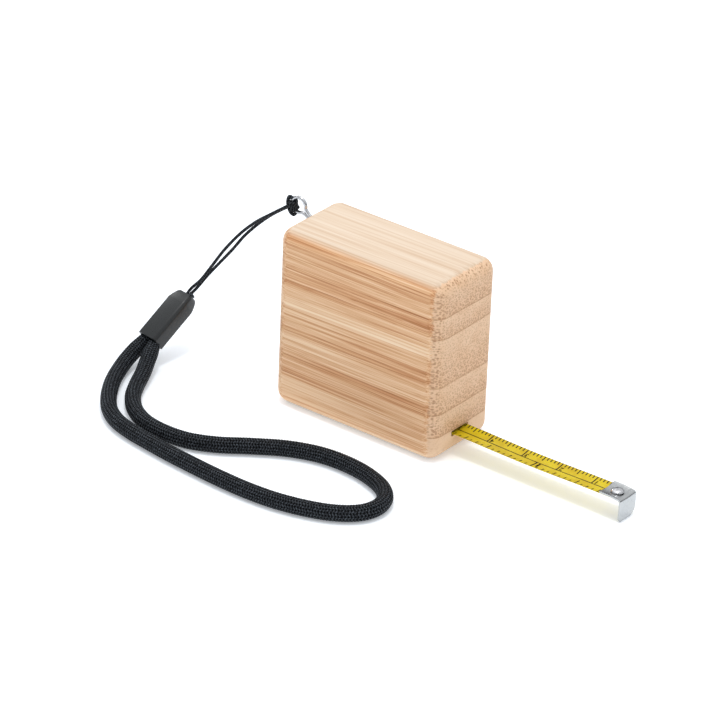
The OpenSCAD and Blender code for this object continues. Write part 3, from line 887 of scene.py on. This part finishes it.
def blade_height(x, across, facts):
    """Height of the blade's upper face, in metres, at x and a number of millimetres across"""
    mouth, hook = 24 * MM, 66 * MM
    share = np.clip((np.asarray(x, float) - mouth) / (hook - mouth), 0, 1)
    sag = -BLADE_SAG / 2 * (1 - np.cos(2 * math.pi * share))
    angle = np.asarray(across, float) / BLADE_R
    return facts["z"] + (sag + BLADE_R * (1 - np.cos(angle))) * MM


def blade_rows(facts):
    """(places of the rows along X, how far each is lifted): straight from the coil, then level"""
    coil_low, coil_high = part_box("blade_coil")
    reel_z = (coil_low.z + coil_high.z) / 2
    reel_r = (coil_high.x - coil_low.x) / 2
    bend_x = 20 * MM
    drop = reel_z - facts["z"]
    reach = math.hypot(bend_x, drop)
    slope = math.acos(reel_r / reach) + math.atan2(drop, bend_x) - math.pi / 2
    touch_x = reel_r * math.sin(slope)
    tail = np.linspace(touch_x, bend_x, 8)[:-1]
    zone = np.concatenate([np.linspace(bend_x, ZONE_START, 4)[:-1],
                           np.linspace(ZONE_START, ZONE_END, 61)[:-1]])
    out = np.linspace(ZONE_END, facts["end"], 49)
    stations = np.concatenate([tail, zone, out])
    return stations, np.maximum(0, bend_x - stations) * math.tan(slope)


def make_blade(front, back):
    """The strip from the coil to the hook. Its scale is true at rest and fully out, but
    squeezed in between."""
    facts = blade_facts()
    half = BLADE_R * math.asin(BLADE_W / 2 / BLADE_R)
    columns = np.linspace(-half, half, 13)
    stations, lift = blade_rows(facts)
    points, marks = [], []
    for level in (0, -BLADE_T):
        for x, up in zip(stations, lift):
            distance = (facts["end"] - x + TRAVEL * (1 - follow(x))) / MM
            for v in columns:
                angle = v / BLADE_R
                z = blade_height(x, v, facts) + up + level * math.cos(angle) * MM
                y = facts["y"] + (BLADE_R - level) * math.sin(angle) * MM
                points.append((x, y, z))
                marks.append((distance, v))
    faces, kinds = slab_faces(len(stations), len(columns))
    mesh = bpy.data.meshes.new("printed_blade")
    mesh.from_pydata(points, [], faces)
    layer = mesh.uv_layers.new(name="scale")
    for loop in mesh.loops:
        layer.data[loop.index].uv = marks[loop.vertex_index]
    for material in (front, back):
        mesh.materials.append(material)
    mesh.polygons.foreach_set("material_index", kinds)
    for polygon in mesh.polygons:
        polygon.use_smooth = True
    mesh.set_sharp_from_angle(angle=math.radians(40))
    blade = placed("printed_blade", mesh)
    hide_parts("blade_front", "blade_tail")
    blend_blade(blade)


def blend_blade(piece):
    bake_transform(piece)


def number_mesh(text, size, weight):
    """(points, faces) of a number in millimetres, right-aligned on 0 and centred in height"""
    curve = bpy.data.curves.new("number", "FONT")
    curve.body = text
    curve.size = size
    curve.offset = weight
    curve.extrude = INK_HALF
    curve.resolution_u = 3
    curve.align_x, curve.align_y = "RIGHT", "CENTER"
    curve.space_character = 0.95
    shape = placed("number", curve)
    graph = bpy.context.evaluated_depsgraph_get()
    mesh = bpy.data.meshes.new_from_object(shape.evaluated_get(graph))
    points = np.array([v.co for v in mesh.vertices], float).reshape(-1, 3)
    faces = [tuple(p.vertices) for p in mesh.polygons]
    bpy.data.objects.remove(shape)
    bpy.data.meshes.remove(mesh)
    bpy.data.curves.remove(curve)
    return points, faces


def make_numbers(material):
    """The numbers beside each centimetre and inch mark, as a thin layer of ink on the blade"""
    facts = blade_facts()
    longest = (facts["end"] + TRAVEL - ZONE_START) / MM
    points, faces = [], []
    for unit, size, weight, across, gap in ((10.0, 1.9, 0.03, 1.0, 0.35),
                                            (INCH, 2.7, 0.09, -1.15, 0.4)):
        for number in range(1, int(longest / unit)):
            shape, shape_faces = number_mesh(str(number), size, weight)
            distance = (number * unit - gap + shape[:, 0]) * MM
            v = across - shape[:, 1]
            x = place_for(distance, facts["end"])
            z = blade_height(x, v, facts) + (INK_LIFT + shape[:, 2]) * MM
            y = facts["y"] + BLADE_R * np.sin(v / BLADE_R) * MM
            first = len(points)
            points += np.stack([x, y, z], axis=1).tolist()
            faces += [tuple(first + i for i in face) for face in shape_faces]
    mesh = bpy.data.meshes.new("blade_numbers")
    mesh.from_pydata(points, [], faces)
    mesh.materials.append(material)
    numbers = placed("blade_numbers", mesh)
    blend_blade(numbers)


# ---------- hook ----------

def make_hook(steel):
    """The plate follows the blade's hollow and turns down, past a pressed line, into the lip"""
    low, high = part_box("end_hook")
    facts = blade_facts()
    thickness = 0.45 * MM
    plate_z = facts["z"] + thickness
    bend_r = 0.75 * MM
    half = (high.y - low.y) / 2
    near_r, far_r, back_r = 0.8 * MM, 2.4 * MM, 0.35 * MM
    columns = half * np.sin(np.linspace(-math.pi / 2, math.pi / 2, 33))
    groove_x, groove_depth, groove_w = high.x - 1.55 * MM, 0.07 * MM, 0.16 * MM
    fade, flat_at_turn = 1.5 * MM, 0.3

    def sheet(inset, y):
        """Points along the outside (inset 0) or the inside of the hook at one place across it"""
        turn_r = bend_r - inset
        corner = max(0.0, abs(y) - (half - back_r))
        back = low.x + back_r - math.sqrt(max(0.0, back_r ** 2 - corner ** 2))
        radius = far_r if y > 0 else near_r
        corner = max(0.0, abs(y) - (half - radius))
        foot = low.z + radius - math.sqrt(max(0.0, radius ** 2 - corner ** 2))
        hollow = BLADE_R * MM * (1 - math.cos(y / (BLADE_R * MM)))
        top = plate_z - inset
        turn_x = high.x - bend_r
        line = []
        for share in np.linspace(0, 1, 26)[:-1]:
            x = back + (turn_x - back) * share
            flat = 1 - 0.75 * max(0.0, (x - groove_x + fade) / (high.x - groove_x + fade))
            press = groove_depth * math.exp(-((x - groove_x) / groove_w) ** 2)
            line.append((x, facts["y"] + y, top + hollow * flat - press))
        for share in np.linspace(0, 1, 9):
            angle = share * math.pi / 2
            line.append((turn_x + turn_r * math.sin(angle), facts["y"] + y,
                         top - turn_r + turn_r * math.cos(angle)
                         + hollow * flat_at_turn * math.cos(angle)))
        start = line[-1][2]
        for share in np.linspace(0, 1, 16)[1:]:
            line.append((high.x - inset, facts["y"] + y, start + (foot - start) * share))
        return line

    points = [p for inset in (0, thickness) for y in columns for p in sheet(inset, float(y))]
    faces, _ = slab_faces(len(columns), len(sheet(0, 0.0)))
    hook = new_piece("hook_plate", points, faces, [steel], 50)
    bevelled(hook, 0.05 * MM, 2, 60)
    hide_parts("end_hook")
    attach(hook, "blade")


def make_rivet(steel):
    low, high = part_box("hook_rivet")
    centre = ((low.x + high.x) / 2, (low.y + high.y) / 2, 0)
    bottom, top = low.z / MM, high.z / MM
    dome_h, dome_r, stem_r, foot_r = 0.75, 1.6, 0.75, 1.2
    axis_r, rim, sunk = 0.01, 0.08, 0.02
    seat = top - dome_h
    profile = [(axis_r, bottom), (foot_r - 0.1, bottom), (foot_r, bottom + 0.1),
               (foot_r, bottom + 0.35), (stem_r, bottom + 0.4), (stem_r, seat - sunk),
               (dome_r - rim, seat - sunk), (dome_r, seat + rim)]
    for k in range(1, 12):
        angle = math.pi / 2 * k / 12
        profile.append((dome_r * math.cos(angle) ** 0.8,
                        seat + rim + (dome_h - rim) * math.sin(angle)))
    profile.append((axis_r, top))

    def dents(radius, angle):
        """Flats that the press leaves on the dome"""
        return -0.05 * max(0.0, math.cos(2.5 * angle + 0.4)) * math.sin(
            min(1.0, radius / dome_r) * math.pi)
    rivet = lathe("rivet_dome", profile, centre, [steel], 60, dents)
    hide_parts("hook_rivet")
    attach(rivet, "blade")


# ---------- CAD nodes that show, or would if the case were opened ----------

def dress_cad_nodes():
    black = plastic("housing_plastic", srgb(30, 30, 32), srgb(44, 44, 46), 0.5)
    grey = plastic("reel_plastic", srgb(52, 52, 56), srgb(66, 66, 70), 0.45)
    nylon = plastic("washer_nylon", srgb(224, 224, 218), srgb(238, 238, 232), 0.4)
    zinc = metal("screw_steel", (0.55, 0.55, 0.56, 1), (0.68, 0.68, 0.70, 1), 0.3, (5, 5, 5))
    blued = metal("spring_steel", (0.16, 0.17, 0.2, 1), (0.28, 0.29, 0.33, 1), 0.32, (6, 0.4, 6))
    yellow = blade_paint("wound_blade", False)
    chosen = {"mechanism_cup": black, "mechanism_lid": black, "reel_drum": grey,
              "reel_cap": grey, "thrust_washer": nylon, "lid_screws": zinc,
              "spindle_pin": zinc, "spindle_screw": zinc, "brake_leaf": blued,
              "power_spring": blued, "blade_coil": yellow, "foam_pad": foam("grey_foam")}
    for name, material in chosen.items():
        node = frame["nodes"][name]
        node.data.materials.clear()
        node.data.materials.append(material)


# ---------- stage ----------

def make_stage():
    mesh = bpy.data.meshes.new("floor")
    reach = 6.0
    mesh.from_pydata([(-reach, -reach, 0), (reach, -reach, 0), (reach, reach, 0),
                      (-reach, reach, 0)], [], [(0, 1, 2, 3)])
    shader = Shader("pale_floor")
    cloud = shader.noise(shader.place(), 0.01)
    colour = shader.mix(cloud, (0.88, 0.91, 0.95, 1), (0.90, 0.93, 0.96, 1))
    mesh.materials.append(shader.finish(base_color=colour, roughness=0.9, emission_color=colour,
                                        emission_strength=0.26, specular_ior_level=0.1))
    placed("floor", mesh)


def area_light(name, place, aim, size, power):
    data = bpy.data.lights.new(name, "AREA")
    data.shape = "DISK"
    data.size = size
    data.energy = power
    light = placed(name, data)
    light.location = place
    light.rotation_mode = "QUATERNION"
    light.rotation_quaternion = (Vector(aim) - Vector(place)).to_track_quat("-Z", "Y")


def make_world():
    """A bright ceiling over dark walls, so that metal shows its shape"""
    world = bpy.data.worlds.new("studio")
    bpy.context.scene.world = world
    world.use_nodes = True
    tree = world.node_tree
    split = tree.nodes.new("ShaderNodeSeparateXYZ")
    tree.links.new(tree.nodes.new("ShaderNodeTexCoord").outputs["Generated"], split.inputs[0])
    ramp = tree.nodes.new("ShaderNodeValToRGB")
    tree.links.new(split.outputs[2], ramp.inputs[0])
    elements = ramp.color_ramp.elements
    elements.new(0.5)
    elements.new(0.5)
    for element, (place, level) in zip(elements, ((0.0, 0.12), (0.2, 0.3), (0.45, 0.85),
                                                  (1.0, 0.95))):
        element.position = place
        element.color = (level * 0.98, level, level * 1.03, 1)
    tree.links.new(ramp.outputs[0], tree.nodes["Background"].inputs[0])


def make_lights():
    area_light("softbox", (-0.1, 0.1, 1.1), (0, 0, 0.01), 1.3, 2.6)
    area_light("key", (0.0, -0.05, 1.0), (0, 0, 0.01), 0.16, 2.6)
    area_light("rim", (-0.8, 0.25, 0.5), (-0.02, 0, 0.01), 0.3, 1.0)
    bpy.context.scene.view_settings.view_transform = "Standard"


make_camera()
black_braid = braid_textile("wrist_braid", 2.2)
black_thread = braid_textile("thin_thread", 3.0)
make_wrist_cord(black_braid)
make_thin_cord(black_thread)
bright = metal("bright_steel", (0.5, 0.5, 0.51, 1), (0.62, 0.62, 0.63, 1), 0.17, (0.5, 5, 5))
make_eye(bright)
make_hitch(black_thread)
make_thread_end(black_thread)
make_ferrule(plastic("ferrule_plastic", srgb(20, 23, 24), srgb(28, 31, 32), 0.32, 8.0))
make_block(bamboo("bamboo"))
make_panel(bamboo("panel_bamboo", (7, 3, -11)))
make_blade(blade_paint("blade_front_paint", True), blade_paint("blade_back_paint", False))
make_numbers(ink("number_ink"))
hook_metal = metal("hook_steel", (0.44, 0.45, 0.45, 1), (0.52, 0.53, 0.53, 1), 0.22, (0.8, 0.4, 7))
make_hook(hook_metal)
make_rivet(bright)
dress_cad_nodes()
make_stage()
make_world()
make_lights()
